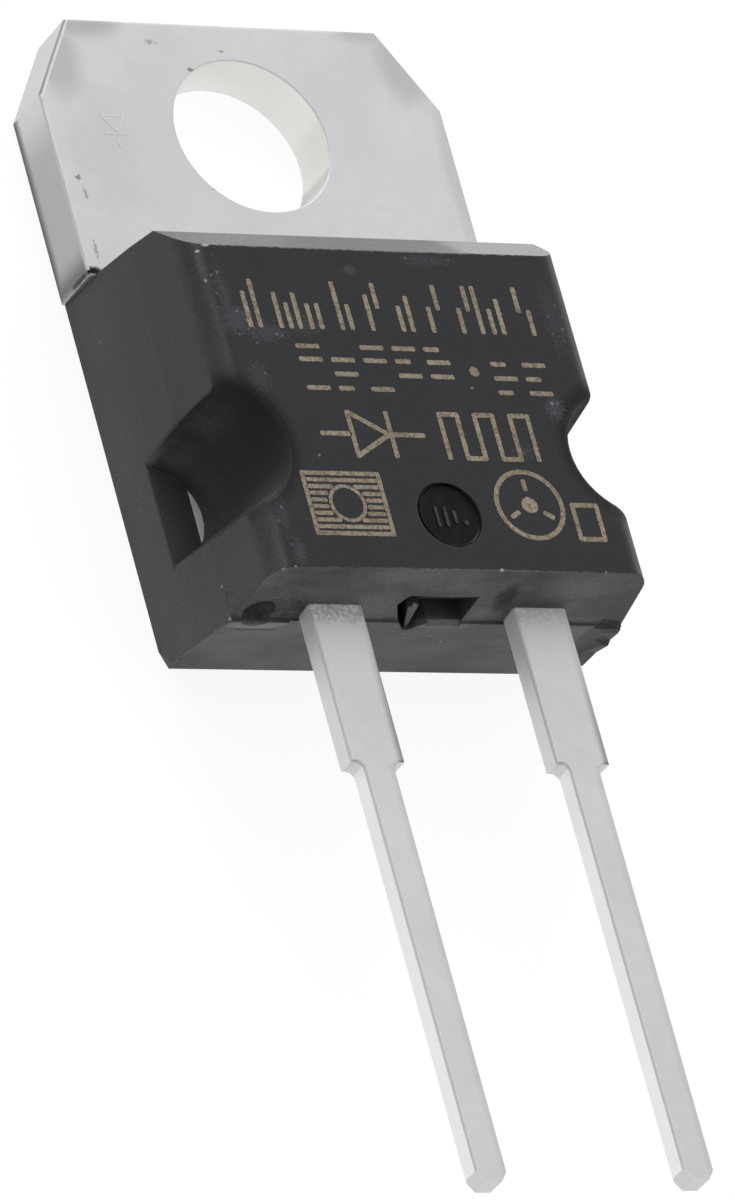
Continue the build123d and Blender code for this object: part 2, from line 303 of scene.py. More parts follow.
# Bright chips and painted glints along the front face's edges, on the corners and on the flake in the
# pocket
RESIN_CHIPS_AND_GLINTS = (
    ((0.0, -4.73, 4.5), (4.6, 0.04, 0.04), 0.6, 0.3),
    ((0.0, -12.48, 4.5), (4.4, 0.03, 0.03), 0.6, 0.2),
    ((-4.4, -12.5, 4.4), (0.06, 0.05, 0.06), 0.2, 0.8),
    ((-4.15, -12.48, 4.5), (0.05, 0.04, 0.05), 0.2, 0.7),
    ((0.91, -12.48, 4.5), (0.07, 0.06, 0.06), 0.2, 1.0),
    ((3.51, -12.48, 4.5), (0.04, 0.05, 0.05), 0.2, 0.5),
    ((-4.4, -4.86, 4.45), (0.07, 0.05, 0.12), 0.2, 1.0),
    ((-4.2, -4.74, 4.5), (0.12, 0.04, 0.06), 0.3, 1.0),
    ((-4.39, -5.58, 4.45), (0.04, 0.06, 0.1), 0.2, 0.6),
    ((-4.85, -12.72, 2.67), (0.06, 0.06, 0.06), 0.2, 1.0),
    ((-4.85, -11.97, 2.7), (0.06, 0.05, 0.05), 0.2, 0.6),
    ((-0.6, -12.64, 3.24), (0.06, 0.08, 0.06), 0.3, 0.6),
    ((-0.22, -12.67, 2.06), (0.045, 0.1, 0.045), 0.2, 0.35),
    ((0.46, -12.66, 1.99), (0.045, 0.1, 0.045), 0.2, 0.35),
    ((0.92, -12.63, 1.66), (0.05, 0.1, 0.05), 0.2, 0.35),
)
# Painted light: lighter places on the lower faces of the resin, where they catch the light
RESIN_PAINTED_LIGHT = (
    ((-4.15, -12.82, 2.4), (1.15, 0.2, 0.38), 0.1, 1.0),
    ((0.25, -12.7, 2.55), (1.1, 0.2, 0.2), 0.12, 0.4),
    ((3.9, -12.7, 2.3), (0.35, 0.3, 0.4), 0.3, 0.2),
    ((1.25, -12.65, 3.0), (0.3, 0.3, 0.25), 0.4, 0.25),
    ((-3.0, -12.55, 4.1), (0.8, 0.3, 0.25), 0.5, 0.12),
    ((2.6, -12.5, 4.1), (1.2, 0.3, 0.3), 0.5, 0.12),
    ((-4.9, -12.5, 0.6), (0.08, 0.2, 0.7), 0.4, 0.2),
)
# Darker places on the lower faces: mostly painted shade in the pits and hollows and along the parting line;
# they also sink the relief
RESIN_PITS_AND_SHADE = (
    ((1.5, -12.6, 3.6), (0.32, 0.3, 0.6), 0.2, 0.9),
    ((-4.1, -12.7, 2.2), (0.8, 0.3, 0.07), 0.35, 0.8),
    ((-4.7, -12.6, 2.0), (0.12, 0.3, 0.06), 0.4, 0.6),
    ((-4.85, -12.43, 0.55), (0.1, 0.12, 0.14), 0.4, 1.0),
    ((-4.8, -12.5, 0.3), (0.07, 0.2, 0.1), 0.4, 0.8),
    ((-4.85, -12.25, 0.75), (0.08, 0.3, 0.12), 0.5, 0.5),
    ((4.45, -12.68, 2.76), (0.4, 0.3, 0.1), 0.4, 0.9),
    ((4.7, -12.65, 1.6), (0.55, 0.6, 1.6), 0.1, 0.8),
    ((-3.7, -12.66, 3.1), (0.9, 0.4, 0.35), 0.8, 0.9),
    ((-4.2, -12.34, 2.85), (0.75, 0.42, 0.75), 0.3, 1.0),
    ((-4.1, -12.66, 3.05), (0.6, 0.2, 0.35), 0.7, 0.9),
    ((-3.35, -12.66, 2.8), (0.5, 0.2, 0.12), 0.3, 0.9),
)


def near_notches(tree, where):
    """Distance in millimetres from the axis of the nearer half-round notch."""
    folded = vector_math(tree, "ABSOLUTE", stretched(tree, where, (1, 1, 0)))[0]
    away = vector_math(tree, "SUBTRACT", folded, notch_axis)[0]
    return vector_math(tree, "LENGTH", away)["Value"]


def resin_painted_light_by_face(tree, where, axes, normal, clouds):
    """Painted light and shade: a tone for each of the body's walls, front, two bottom faces and slanted
    strip, as the light falls on them. Also the strip's mask.
    """
    smoky = stretched(tree, where, (0.7, 1.0, 1.4))
    smoky = use(tree, cloud_group, Position=smoky, Clouds_per_mm=0.8, Low=0.36, High=0.64)["Mask"]
    walls = tint(tree, clouds, (0.062, 0.061, 0.061, 1), (0.088, 0.087, 0.086, 1))
    front = tint(tree, clouds, (0.022, 0.023, 0.028, 1), (0.028, 0.029, 0.035, 1))
    lower_bottom = tint(tree, smoky, (0.074, 0.073, 0.075, 1), (0.120, 0.118, 0.121, 1))
    upper_bottom = tint(tree, smoky, (0.085, 0.084, 0.088, 1), (0.175, 0.173, 0.178, 1))
    above_parting = remap(tree, axes[2], parting_plane - 0.05, parting_plane + 0.05)
    bottom = tint(tree, above_parting, lower_bottom, upper_bottom)
    # Painted sheen: the slanted strip lighter, most of all towards its right end
    strip = tint(tree, remap(tree, axes[0], 2.0, 2.5), (0.14, 0.128, 0.124, 1), (0.36, 0.345, 0.35, 1))

    # Painted light: the walls lighter near the back and near the foot
    painted_light_near_back = remap(tree, axes[2], 2.2, 0.2, 0.0, 0.6)
    painted_light_near_foot = remap(tree, axes[1], -10.5, -12.5, 0.0, 0.3)
    on_front = product(tree, remap(tree, normal[2], 0.9, 0.99), remap(tree, axes[2], 3.0, 4.0))
    on_bottom = remap(tree, normal[1], -0.6, -0.9)
    on_strip = product(tree, remap(tree, normal[1], 0.5, 0.7), remap(tree, normal[2], 0.4, 0.6))
    colour = tint(tree, painted_light_near_back, walls, (0.16, 0.158, 0.157, 1))
    colour = tint(tree, painted_light_near_foot, colour, (0.15, 0.148, 0.147, 1))
    for share, face in ((on_front, front), (on_bottom, bottom), (on_strip, strip)):
        colour = tint(tree, share, colour, face)
    return colour, on_strip


def notch_lips_and_painted_shade(tree, where, axes, normal):
    """Masks of the resin in and round the notches, off the side walls, and of the shade painted on it."""
    away = near_notches(tree, where)
    facing_out = remap(tree, calc(tree, "ABSOLUTE", normal[0]), 0.94, 0.985)
    far_out = remap(tree, calc(tree, "ABSOLUTE", axes[0]), 4.42, 4.55)
    off_walls = remap(tree, product(tree, facing_out, far_out), 1, 0, smooth=False)
    lip = product(tree, remap(tree, away, 2.0, 1.55), remap(tree, axes[2], 1.4, 2.4), off_walls)
    upwards = remap(tree, axes[1], -10.7, -9.0, 0.15, 0.7)
    return lip, product(tree, lip, upwards, remap(tree, away, 1.15, 1.5, 0.2, 1.0))


def resin_wear(tree, where, worn_edges, colour):
    """Scuffs with sparks in them, chips and painted glints, pale worn edges and dust over the resin's
    colour.
    """
    sparks = use(tree, speck_group, Position=where, Cells_per_mm=7.5, Size=0.3, Share_of_cells=0.3)["Mask"]
    dust = use(tree, speck_group, Position=where, Cells_per_mm=1.4, Size=0.05, Share_of_cells=0.06)["Mask"]
    rubbed = product(tree, remap(tree, sparks, 0, 1, 0.2, 1.0), patches(tree, where, RESIN_SCUFFS, 14.0))
    colour = tint(tree, rubbed, colour, (0.21, 0.22, 0.26, 1))
    colour = tint(tree, patches(tree, where, RESIN_CHIPS_AND_GLINTS, 9.0), colour, grey(0.6))
    colour = tint(tree, product(tree, worn_edges, 0.35), colour, (0.22, 0.22, 0.23, 1))
    return tint(tree, product(tree, dust, 0.6), colour, (0.3, 0.31, 0.34, 1))


def epoxy_material():
    """Black moulding resin: finely eroded surface, cloudy sheen, scuffs, light wear along the edges, and
    painted light and shade.
    """
    material, tree, shader = new_material("black_epoxy", (0.03, 0.03, 0.032), 0.47, specular=0.35)
    where = place_mm(tree)
    axes = axes_of(tree, where)
    normal = normal_axes(tree)
    grain = use(tree, grain_group, Position=where, Grains_per_mm=15.0, Coarse_share=0.4)["Height"]
    clouds = use(tree, cloud_group, Position=where, Clouds_per_mm=0.6, Low=0.3, High=0.7)["Mask"]
    speckle = use(tree, cloud_group, Position=where, Clouds_per_mm=26.0, Low=0.35, High=0.7)["Mask"]
    wear = use(tree, edge_group, Position=where, Radius_mm=0.05, Breaks_per_mm=5.0, Broken_share=0.9)
    occlusion_for_painted_shade = add(tree, "ShaderNodeAmbientOcclusion", {"Distance": 2.5 * MM}, samples=6).outputs["AO"]

    colour, on_strip = resin_painted_light_by_face(tree, where, axes, normal, clouds)
    colour = tint(tree, remap(tree, speckle, 0, 1, 0.3, 0.0), colour, grey(0.005))
    # Painted shade: darker where the resin is hemmed in, in hollows and creases
    colour = tint(tree, remap(tree, occlusion_for_painted_shade, 0.1, 0.7), grey(0.05), colour)
    lip, lip_painted_shade = notch_lips_and_painted_shade(tree, where, axes, normal)
    # Painted shade in and round the notches, darker lower down
    colour = tint(tree, lip_painted_shade, colour, (0.010, 0.010, 0.011, 1))
    # Painted light on the lower faces
    colour = tint(tree, patches(tree, where, RESIN_PAINTED_LIGHT), colour, (0.26, 0.26, 0.265, 1))
    # Darker pits and painted shade, also sunk into the relief
    pits_and_painted_shade = patches(tree, where, RESIN_PITS_AND_SHADE)
    colour = tint(tree, pits_and_painted_shade, colour, grey(0.018))
    colour = resin_wear(tree, where, wear["Mask"], colour)

    rough = blend(tree, lip, remap(tree, clouds, 0, 1, 0.43, 0.53, smooth=False), 0.85)
    rough = blend(tree, on_strip, rough, 0.26)
    relief = calc(tree, "MULTIPLY_ADD", pits_and_painted_shade, -2.0, grain)
    feed(tree, shader, Base_Color=colour, Roughness=rough)
    feed(tree, shader, Normal=bump(tree, relief, 0.010, wear["Rounded normal"]))
    return material


# Painted shade: soft darker places on the tab's front
TAB_SHADE = (
    ((-3.5, 2.8, 1.27), (1.3, 0.7, 0.2), 0.12, 0.75),
    ((-4.4, 1.85, 1.27), (0.8, 1.5, 0.2), 0.12, 0.6),
    ((4.35, 1.9, 1.27), (0.9, 1.4, 0.2), 0.12, 0.55),
    ((3.6, 2.75, 1.27), (1.0, 0.4, 0.2), 0.12, 0.5),
    ((4.95, -0.8, 1.27), (0.35, 2.8, 0.2), 0.12, 0.35),
    ((-3.9, -0.5, 1.27), (1.3, 2.0, 0.2), 0.15, 0.18),
)
# Small scuffs and nicks on the tab
TAB_SCUFFS = (
    ((-1.08, 1.62, 1.27), (0.12, 0.06, 0.1), 0.7, 0.8),
    ((-0.2, 2.12, 1.27), (0.1, 0.05, 0.1), 0.7, 0.6),
    ((-1.95, 2.28, 1.27), (0.2, 0.08, 0.1), 0.8, 0.45),
    ((-4.66, -1.2, 1.27), (0.08, 0.1, 0.2), 0.8, 0.8),
    ((-4.58, -1.6, 1.27), (0.06, 0.18, 0.2), 0.9, 0.55),
    ((-4.7, -3.0, 1.27), (0.06, 0.3, 0.2), 0.9, 0.55),
    ((-1.3, -1.36, 1.27), (0.1, 0.06, 0.1), 0.8, 0.5),
)
# Painted shade: black slit where the resin stands off the tab's left edge
TAB_GAP_SHADE = (
    ((-4.9, -3.52, 1.27), (0.3, 0.15, 0.12), 0.25, 1.0),
    ((-5.05, -3.55, 0.9), (0.1, 0.1, 0.5), 0.3, 0.8),
)
# Copper that shows through the plating at the left lead's right edge
LEAD_COPPER = (
    ((-1.87, -14.1, 3.15), (0.08, 0.4, 0.3), 0.25, 1.0),
    ((-1.87, -14.7, 3.1), (0.05, 0.4, 0.3), 0.4, 0.6),
)
# Bright rubbed strip along the same edge, nearer the resin
LEAD_RUBS = (
    ((-1.87, -13.25, 3.2), (0.08, 0.85, 0.15), 0.2, 1.0),
)


def on_leads(tree, axes):
    """Mask of the leads outside the resin."""
    return remap(tree, axes[1], lead_root + 0.25, lead_root - 0.15)


def lead_marks(tree, where, axes, normal):
    """Mask of the leads' darker places: painted shade along the rolled right edges, and the grainy band
    beside the resin.
    """
    half_pitch = lead_pitch / 2
    sideways = calc(tree, "WRAP", calc(tree, "ADD", axes[0], half_pitch), half_pitch, -half_pitch)
    on_wide = remap(tree, axes[1], lead_shoulder - 0.1, lead_shoulder)
    to_edge = calc(tree, "SUBTRACT", blend(tree, on_wide, lead_narrow_half, lead_wide_half), sideways)
    # Painted shade along the rolled right edges
    at_edge = product(tree, remap(tree, to_edge, 0.24, 0.04), remap(tree, on_wide, 0, 1, 0.2, 1.0))
    down_lead = remap(tree, axes[1], -13.0, -16.0, 0.15, 0.85)
    edge_shade = product(tree, at_edge, down_lead, on_leads(tree, axes))

    coarse = use(tree, cloud_group, Position=where, Clouds_per_mm=9.0, Low=0.35, High=0.62)["Mask"]
    towards_root = remap(tree, axes[1], lead_root - 0.6, lead_root - 0.2, 0.0, 0.55)
    outside = remap(tree, axes[1], lead_root + 0.3, lead_root + 0.1)
    on_left = remap(tree, axes[0], 0.5, -0.5, 0.35, 1.0)
    band = product(tree, coarse, towards_root, outside, on_left)
    return product(tree, remap(tree, normal[2], 0.2, 0.6), highest(tree, edge_shade, band))


def tab_tones(tree, where, axes, normal, colour):
    """Tab: rougher left wall with painted light and shade, chamfer and hole painted pale for their
    reflection, painted shade, and nicks. Also the wall and the chamfer.
    """
    on_tab = remap(tree, axes[1], tab_root - 0.4, tab_root + 0.1)
    wall = product(tree, remap(tree, normal[0], -0.93, -0.99), on_tab)
    by_resin = remap(tree, axes[1], tab_root + 0.7, tab_root - 0.1)
    shaded = highest(tree, remap(tree, axes[2], 0.28, 0.02), by_resin)
    # Painted light and shade on the left wall: lighter towards the tab's end, darker near its back edge and
    # near the resin
    wall_colour = tint(tree, remap(tree, axes[1], -0.6, 0.8), (0.58, 0.58, 0.585, 1), grey(0.82))
    wall_colour = tint(tree, shaded, wall_colour, grey(0.20))
    # Painted reflection: the chamfer and the hole wall pale and matt, the hole a little warm where copper
    # shows
    chamfer = product(tree, remap(tree, normal[1], 0.3, 0.45), remap(tree, normal[0], -0.7, -0.8))
    # Painted shade on the rolled edge between the front and the chamfer
    roll = product(tree, remap(tree, normal[1], 0.08, 0.25), remap(tree, normal[0], -0.15, -0.4),
                   remap(tree, normal[2], 0.05, 0.2))
    from_hole = vector_math(tree, "LENGTH", stretched(tree, where, (1, 1, 0)))["Value"]
    in_hole = calc(tree, "LESS_THAN", from_hole, hole_radius + 0.004)

    colour = tint(tree, wall, colour, wall_colour)
    colour = tint(tree, chamfer, colour, grey(1.0))
    colour = tint(tree, roll, colour, grey(0.36))
    colour = tint(tree, in_hole, colour, (1.0, 0.98, 0.95, 1))
    # Painted shade on the tab's front
    colour = tint(tree, patches(tree, where, TAB_SHADE, 1.5), colour, grey(0.5))
    colour = tint(tree, patches(tree, where, TAB_SCUFFS, 14.0), colour, grey(0.18))
    colour = tint(tree, patches(tree, where, TAB_GAP_SHADE, 6.0), colour, grey(0.015))
    return colour, wall, chamfer


def lead_tones(tree, where, axes, normal, colour):
    """Leads: painted light as pale matt tin beside the resin, on the left walls and rolled left edges,
    painted shade and glints, a grainy band, copper at one edge.
    """
    outside = on_leads(tree, axes)
    by_body = product(tree, outside, remap(tree, axes[1], -15.0, -12.9))
    wall = product(tree, remap(tree, normal[0], -0.8, -0.95), outside)
    wide_wall = product(tree, wall, remap(tree, axes[1], lead_shoulder - 0.3, lead_shoulder + 0.1))
    rolled = product(tree, remap(tree, normal[0], -0.1, -0.35), remap(tree, normal[2], 0.1, 0.3), outside)
    # Painted glints: bright specks along the leads' root
    sparks = use(tree, speck_group, Position=where, Cells_per_mm=9.0, Size=0.45, Share_of_cells=0.8)["Mask"]
    root_line = product(tree, remap(tree, axes[1], lead_root - 0.13, lead_root - 0.09), outside)
    bright = highest(tree, product(tree, sparks, root_line), patches(tree, where, LEAD_RUBS, 10.0))

    # Painted light: pale and matt beside the resin and on the left walls
    colour = tint(tree, highest(tree, by_body, wall), colour, grey(1.0))
    # Painted highlight along the rolled left edges
    colour = tint(tree, rolled, colour, grey(1.0))
    colour = tint(tree, lead_marks(tree, where, axes, normal), colour, grey(0.30))
    # Painted glints along the root, and the rubbed strip
    colour = tint(tree, bright, colour, grey(1.0))
    colour = tint(tree, patches(tree, where, LEAD_COPPER, 6.0), colour, (0.80, 0.38, 0.20, 1))
    return colour, by_body, highest(tree, product(tree, wide_wall, 0.4), rolled, bright)


def tin_material():
    """Satin tin plating over stamped copper, duller on the sheared walls and bright on rubbed edges, with
    painted light, shade and highlights.
    """
    material, tree, shader = new_material("tinned_copper", (0.75, 0.75, 0.76), 0.42, metallic=0.85)
    where = place_mm(tree)
    axes = axes_of(tree, where)
    normal = normal_axes(tree)
    grain = use(tree, grain_group, Position=where, Grains_per_mm=10.0, Coarse_share=0.5)["Height"]
    clouds = use(tree, cloud_group, Position=where, Clouds_per_mm=0.45, Low=0.3, High=0.7)["Mask"]
    mottle = use(tree, cloud_group, Position=where, Clouds_per_mm=3.5, Low=0.4, High=0.62)["Mask"]
    wear = use(tree, edge_group, Position=where, Radius_mm=0.06, Breaks_per_mm=2.5, Broken_share=0.6)
    # Worn edges painted lighter: partly wear, partly painted highlight
    worn = product(tree, wear["Mask"], remap(tree, axes[1], 0.9, 0.7, 0.05, 0.5))

    colour = tint(tree, clouds, (0.74, 0.74, 0.755, 1), (0.80, 0.80, 0.81, 1))
    colour = tint(tree, product(tree, mottle, 0.10), colour, (0.6, 0.6, 0.61, 1))
    colour = tint(tree, worn, colour, grey(0.95))
    colour, tab_wall, tab_chamfer = tab_tones(tree, where, axes, normal, colour)
    colour, by_body, lead_painted_light_and_rubs = lead_tones(tree, where, axes, normal, colour)
    # Painted light: the leadframe seen in the notches pale and matt
    in_notches = product(tree, remap(tree, axes[1], -8.0, -8.5), remap(tree, axes[1], -12.3, -12.0))
    colour = tint(tree, in_notches, colour, grey(1.0))

    # Less metal where light, reflections and highlights are painted pale and matt
    matt = highest(tree, tab_chamfer, in_notches, lead_painted_light_and_rubs, product(tree, by_body, 0.75))
    dull = highest(tree, tab_wall, product(tree, by_body, 0.7))
    rough = remap(tree, clouds, 0, 1, 0.38, 0.48, smooth=False)
    feed(tree, shader, Base_Color=colour, Roughness=blend(tree, dull, rough, 0.55))
    feed(tree, shader, Metallic=remap(tree, matt, 0, 1, 0.85, 0.1, smooth=False))
    sharp = add(tree, "ShaderNodeNewGeometry").outputs["Normal"]
    edged = {0: on_leads(tree, axes), 4: wear["Rounded normal"], 5: sharp}
    edged = add(tree, "ShaderNodeMix", edged, data_type="VECTOR").outputs[1]
    feed(tree, shader, Normal=bump(tree, grain, 0.005, edged))
    return material


def silicon_material():
    """Chip: bright evaporated metal on top, dark sawn silicon at its sides."""
    material, tree, shader = new_material("silicon", (0.45, 0.45, 0.48), 0.3, metallic=1.0)
    where = place_mm(tree)
    grain = use(tree, grain_group, Position=where, Grains_per_mm=20.0, Coarse_share=0.3)["Height"]
    top = remap(tree, normal_axes(tree)[2], 0.6, 0.9)
    colour = tint(tree, top, (0.09, 0.09, 0.11, 1), (0.8, 0.8, 0.82, 1))
    feed(tree, shader, Base_Color=colour, Roughness=remap(tree, grain, 0.3, 0.7, 0.25, 0.4))
    feed(tree, shader, Normal=bump(tree, grain, 0.003))
    return material


def solder_material():
    """Reflowed soft solder, dull grey with a frosty grain."""
    material, tree, shader = new_material("soft_solder", (0.55, 0.55, 0.57), 0.38, metallic=1.0)
    where = place_mm(tree)
    grain = use(tree, grain_group, Position=where, Grains_per_mm=7.0, Coarse_share=0.6)["Height"]
    clouds = use(tree, cloud_group, Position=where, Clouds_per_mm=1.2, Low=0.35, High=0.65)["Mask"]
    colour = tint(tree, clouds, (0.45, 0.45, 0.47, 1), (0.63, 0.63, 0.65, 1))
    feed(tree, shader, Base_Color=colour, Roughness=remap(tree, grain, 0.3, 0.7, 0.3, 0.5))
    feed(tree, shader, Normal=bump(tree, grain, 0.008))
    return material


def wire_material():
    """Drawn aluminium wire with faint lines along it."""
    material, tree, shader = new_material("aluminium_wire", (0.86, 0.86, 0.87), 0.24, metallic=1.0)
    where = stretched(tree, place_mm(tree), (4.0, 0.4, 1.0))
    grain = use(tree, grain_group, Position=where, Grains_per_mm=10.0, Coarse_share=0.5)["Height"]
    colour = tint(tree, grain, (0.8, 0.8, 0.81, 1), (0.92, 0.92, 0.93, 1))
    feed(tree, shader, Base_Color=colour, Roughness=remap(tree, grain, 0.3, 0.7, 0.18, 0.32))
    feed(tree, shader, Normal=bump(tree, grain, 0.003))
    return material


def laser_material():
    """Resin foamed by a laser: matt tan, with dark pits between the pulses."""
    material, tree, shader = new_material("laser_mark", (0.38, 0.33, 0.25), 0.8)
    where = place_mm(tree)
    pits = use(tree, cloud_group, Position=where, Clouds_per_mm=15.0, Low=0.34, High=0.56)["Mask"]
    tone = use(tree, cloud_group, Position=where, Clouds_per_mm=1.5, Low=0.3, High=0.7)["Mask"]
    grain = use(tree, grain_group, Position=where, Grains_per_mm=22.0, Coarse_share=0.3)["Height"]
    tan_shade = tint(tree, tone, (0.34, 0.285, 0.205, 1), (0.44, 0.375, 0.28, 1))
    colour = tint(tree, pits, (0.20, 0.165, 0.12, 1), tan_shade)
    feed(tree, shader, Base_Color=colour, Roughness=remap(tree, grain, 0.3, 0.7, 0.7, 0.9))
    feed(tree, shader, Normal=bump(tree, grain, 0.01))
    return material


def scribe_material():
    """Fresh scratch in the plating: paler and rougher than the tin beside it."""
    material, tree, shader = new_material("scribed_tin", (0.9, 0.9, 0.91), 0.5, metallic=0.2)
    where = place_mm(tree)
    grain = use(tree, grain_group, Position=where, Grains_per_mm=16.0, Coarse_share=0.5)["Height"]
    colour = tint(tree, grain, (0.78, 0.78, 0.79, 1), grey(1.0))
    feed(tree, shader, Base_Color=colour, Roughness=remap(tree, grain, 0.3, 0.7, 0.4, 0.6))
    feed(tree, shader, Normal=bump(tree, grain, 0.006))
    return material


def moulded_mark_material():
    """Raised resin on the ejector pin's face, rubbed grey."""
    material, tree, shader = new_material("moulded_mark", (0.05, 0.05, 0.055), 0.35, specular=0.35)
    where = place_mm(tree)
    rub = use(tree, cloud_group, Position=where, Clouds_per_mm=5.0, Low=0.4, High=0.6)["Mask"]
    grain = use(tree, grain_group, Position=where, Grains_per_mm=20.0, Coarse_share=0.3)["Height"]
    colour = tint(tree, rub, (0.02, 0.02, 0.022, 1), (0.055, 0.055, 0.06, 1))
    feed(tree, shader, Base_Color=colour, Roughness=remap(tree, grain, 0.3, 0.7, 0.3, 0.45))
    feed(tree, shader, Normal=bump(tree, grain, 0.004))
    return material


def polished_resin_material():
    """Smooth black resin that a polished ejector pin left, with faint rubbing."""
    material, tree, shader = new_material("polished_resin", (0.006, 0.006, 0.007), 0.2, specular=0.15)
    where = place_mm(tree)
    rub = use(tree, cloud_group, Position=where, Clouds_per_mm=3.0, Low=0.45, High=0.7)["Mask"]
    grain = use(tree, grain_group, Position=where, Grains_per_mm=18.0, Coarse_share=0.4)["Height"]
    colour = tint(tree, rub, (0.003, 0.003, 0.0035, 1), (0.010, 0.010, 0.012, 1))
    feed(tree, shader, Base_Color=colour, Roughness=remap(tree, rub, 0, 1, 0.16, 0.28))
    feed(tree, shader, Normal=bump(tree, grain, 0.0015))
    return material


FINISHES = {
    "tinned_copper": tin_material(),
    "black_epoxy": epoxy_material(),
    "silicon": silicon_material(),
    "soft_solder": solder_material(),
    "aluminium_wire": wire_material(),
}
for subpart in frame["record"]["subparts"]:
    shape = nodes[subpart["node"]]
    shape.data.materials.clear()
    shape.data.materials.append(FINISHES[subpart["material_slot"]])

laser_finish = laser_material()
scribe_finish = scribe_material()
moulded_mark_finish = moulded_mark_material()
polished_finish = polished_resin_material()


class Shape:
    """Points in millimetres and faces of one piece while it is made."""

    def __init__(self):
        self.points = []
        self.faces = []

    def strip(self, left, right, closed=False):
        """Quads between two rows of points."""
        start = len(self.points)
        count = len(left)
        for pair in zip(left, right):
            self.points.extend(pair)
        for step in range(count if closed else count - 1):
            here = start + 2 * step
            after = start + 2 * ((step + 1) % count)
            self.faces.append((here, here + 1, after + 1, after))

    def prism(self, outline, low, high):
        """Closed block over a flat outline, with straight walls from one height to another."""
        start = len(self.points)
        count = len(outline)
        for height in (low, high):
            self.points.extend((x, y, height) for x, y in outline)
        self.faces.append(tuple(range(start + count, start + 2 * count)))
        self.faces.append(tuple(range(start + count - 1, start - 1, -1)))
        for step in range(count):
            after = (step + 1) % count
            self.faces.append((start + step, start + after, start + count + after, start + count + step))

    def finish(self, name, material):
        """Blender object of the shape, riding on the part's one body."""
        mesh = bpy.data.meshes.new(name)
        mesh.from_pydata([Vector(point) * MM for point in self.points], [], self.faces)
        mesh.update()
        mesh.materials.append(material)
        piece = bpy.data.objects.new(name, mesh)
        bpy.context.scene.collection.objects.link(piece)
        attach(piece, "root")
        return piece


# Laser marks: one pulse after another makes each stroke's edges scalloped
mark_lift = 0.004
mark_height = front_height + mark_lift
mark_width = 0.12
pulse_pitch = 0.075
steps_per_pulse = 3
pulse_waist = 0.17
pulse_jitter = 0.006
end_reach = 0.35                    # how far a stroke runs past its ends, in widths
end_taper = 0.6                     # how wide its last step is, in widths
line_lift = 0.1                     # how much higher the next line of a path lies, in mark lifts


def pulse_half_width(step, width, rng):
    """Half the width of a laser stroke at a step: widest at a pulse, narrower between two."""
    waist = pulse_waist * (1 - abs(cos(pi * step / steps_per_pulse)))
    return width / 2 * (1 - waist) + rng.uniform(-pulse_jitter, pulse_jitter)


def laser_stroke(shape, path, height, rng, width=mark_width):
    """Scalloped ribbon along a run of straight lines, each a little higher than the last."""
    for number, (start, end) in enumerate(zip(path, path[1:])):
        start, end = Vector(start), Vector(end)
        along = (end - start).normalized()
        across = Vector((-along.y, along.x))
        start, end = start - along * width * end_reach, end + along * width * end_reach
        steps = max(3, round((end - start).length / pulse_pitch * steps_per_pulse))
        level = height + number * mark_lift * line_lift
        left, right = [], []
        for step in range(steps + 1):
            centre = start.lerp(end, step / steps)
            half = pulse_half_width(step, width, rng)
            half *= end_taper if step in (0, steps) else 1
            left.append((*(centre + across * half), level))
            right.append((*(centre - across * half), level))
        shape.strip(left, right)


def laser_ring(shape, centre, radius, height, rng, width=mark_width):
    """Scalloped ribbon round a circle."""
    steps = round(2 * pi * radius / pulse_pitch) * steps_per_pulse
    outer, inner = [], []
    for step in range(steps):
        angle = 2 * pi * step / steps
        ray = Vector((cos(angle), sin(angle)))
        half = pulse_half_width(step, width, rng)
        outer.append((*(Vector(centre) + ray * (radius + half)), height))
        inner.append((*(Vector(centre) + ray * (radius - half)), height))
    shape.strip(inner, outer, closed=True)


def laser_dot(shape, centre, radius, height, rng, corners=18):
    """Filled dot with an uneven rim."""
    start = len(shape.points)
    shape.points.append((*centre, height))
    for corner in range(corners):
        angle = 2 * pi * corner / corners
        reach = radius + rng.uniform(-2, 2) * pulse_jitter
        shape.points.append((centre[0] + reach * cos(angle), centre[1] + reach * sin(angle), height))
    for corner in range(corners):
        shape.faces.append((start, start + 1 + corner, start + 1 + (corner + 1) % corners))


def tally_row():
    """Top row: ten groups of upright bars of uneven height."""
    rng = random.Random(11)
    shape = Shape()
    foot, head = -6.68, -5.58
    first_group, group_pitch = -3.42, 0.755
    middle = (foot + head) / 2
    spans = ((foot, head), (foot, middle), (middle, head), (foot, middle + 0.25))
    for group in range(10):
        centre = first_group + group * group_pitch
        for offset in (-0.2, 0.04, 0.27)[: rng.choice((2, 2, 3))]:
            low, high = spans[rng.choice((0, 0, 1, 2, 3))]
            x = centre + offset
            laser_stroke(shape, [(x, low), (x, high)], mark_height, rng)
    return shape.finish("laser_marks_tally_row", laser_finish)


def dash_row():
    """Middle row: stacks of level dashes, five cells, a gap with a dot, and two more."""
    rng = random.Random(23)
    shape = Shape()
    foot, head = -8.17, -7.12
    first_cell, cell_pitch = -2.62, 0.79
    rises = (0.02, 0.35, 0.68, 0.98)
    for cell in (0, 1, 2, 3, 4, 6, 7):
        left = first_cell + cell * cell_pitch
        for index in rng.sample(range(len(rises)), 3):
            y = foot + rises[index] * (head - foot)
            long = rng.choice((0.3, 0.5, 0.5))
            laser_stroke(shape, [(left, y), (left + long, y)], mark_height, rng)
    laser_dot(shape, (1.62, -7.65), 0.12, mark_height, rng)
    return shape.finish("laser_marks_dash_row", laser_finish)


